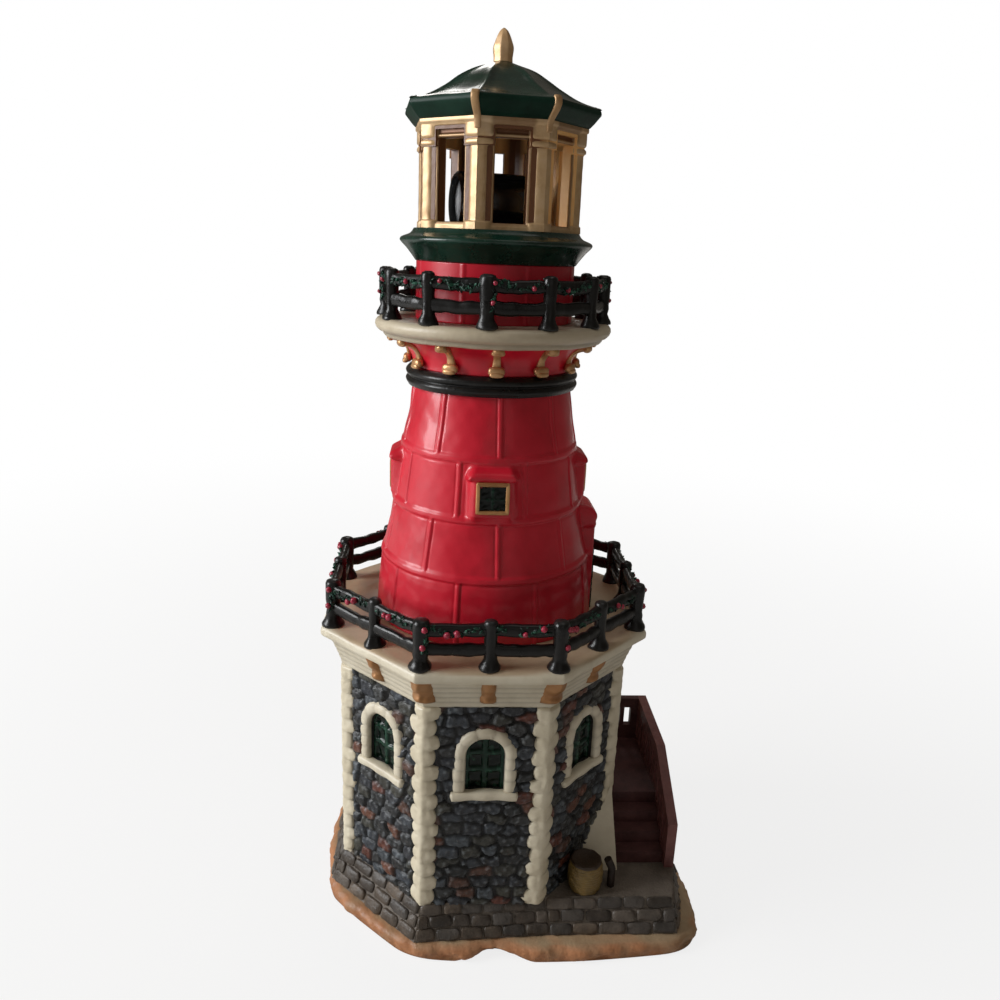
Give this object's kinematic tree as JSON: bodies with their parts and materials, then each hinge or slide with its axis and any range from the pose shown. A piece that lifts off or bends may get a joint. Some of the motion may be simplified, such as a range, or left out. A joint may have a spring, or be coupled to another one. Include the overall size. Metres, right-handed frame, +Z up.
{
  "type": "light-up lighthouse figurine",
  "caption": "Tabletop lighthouse figurine: octagonal stone house, red tower, railed galleries with garlands, and an open lantern with a turning lit beacon over a battery base.",
  "frame": {"origin": "on the underside of the base slab, at the tower's axis", "axes": "+Z up along the tower's axis, front of the house towards -Y, stair on the +X side"},
  "size_m": [0.1116, 0.0963, 0.2404],
  "materials": {
    "sand": "matte paint",
    "brick": "matte paint with a dark wash",
    "fieldstone": "satin paint with mixed stone colours",
    "cream": "satin paint with a light wash",
    "dark_green": "gloss",
    "pane": "gloss tinted",
    "maroon": "satin paint",
    "straw": "satin paint",
    "dark_brown": "satin paint",
    "black_gloss": "gloss paint",
    "garland_green": "satin paint",
    "berry_red": "gloss paint",
    "red_glaze": "high gloss",
    "gold": "metallic paint",
    "beacon_black": "gloss",
    "lens": "clear",
    "reflector": "polished",
    "white_plastic": "matte",
    "black_plastic": "matte",
    "steel": "satin",
    "cell": "printed sleeve, plain",
    "board": "solder mask",
    "lamp": "diffuse",
    "wire": "matte"
  },
  "bodies": {
    "lighthouse": {"sand_base": "sand", "brick_plinth": "brick", "stone_wall": "fieldstone", "corner_quoins": "cream", "stone_surrounds": "cream", "window_panes": "pane", "window_bars": "dark_green", "house_door": "dark_green", "stair_flight": "maroon", "stair_parapet": "maroon", "landing_rail": "maroon", "stair_wing": "cream", "keg": "straw", "keg_hoops": "dark_brown", "mooring_hook": "dark_brown", "deck_slab": "cream", "deck_corbels": "gold", "deck_railing": "black_gloss", "deck_garland": "garland_green", "deck_berries": "berry_red", "red_tower": "red_glaze", "tower_window_frames": "gold", "tower_window_panes": "pane", "tower_door": "dark_green", "tower_collar": "black_gloss", "gallery_neck": "red_glaze", "gallery_brackets": "gold", "gallery_slab": "cream", "gallery_railing": "black_gloss", "gallery_garland": "garland_green", "gallery_berries": "berry_red", "lantern_drum": "red_glaze", "lantern_sill": "dark_green", "lantern_cage": "gold", "lantern_roof": "dark_green", "eave_brackets": "gold", "finial": "gold", "mechanism_plate": "black_plastic", "plate_screws": "steel", "gear_motor": "steel", "lamp_post": "black_plastic", "beacon_lamp": "lamp", "wiring_harness": "wire", "bottom_cover": "black_plastic", "cover_screws": "steel", "battery_tray": "black_plastic", "battery_cells": "cell", "battery_contacts": "steel", "switch_body": "black_plastic", "circuit_board": "board", "room_lamps": "lamp"},
    "beacon": {"beacon_gear": "white_plastic", "beacon_barrel": "beacon_black", "beacon_reflectors": "reflector", "beacon_lenses": "lens"},
    "pinion": {"motor_pinion": "white_plastic"},
    "battery_hatch": {"battery_door": "black_plastic"},
    "switch_slider": {"switch_knob": "white_plastic"}
  },
  "joints": [
    {"name": "beacon_spin", "type": "hinge", "parent": "lighthouse", "child": "beacon", "pos_m": [0, 0, 0.19], "axis": [0, 0, 1], "continuous": true},
    {"name": "pinion_spin", "type": "hinge", "parent": "lighthouse", "child": "pinion", "pos_m": [0, 0.009, 0.187], "axis": [0, 0, 1], "continuous": true},
    {"name": "battery_door_hinge", "type": "hinge", "parent": "lighthouse", "child": "battery_hatch", "pos_m": [0, -0.0158, 0.0028], "axis": [-1, 0, 0], "range_deg": [0, 90]},
    {"name": "switch_slide", "type": "slide", "parent": "lighthouse", "child": "switch_slider", "axis": [1, 0, 0], "range_m": [0, 0.003]}
  ],
  "couplings": [
    {"joint": "pinion_spin", "follows": "beacon_spin", "ratio": -2}
  ]
}
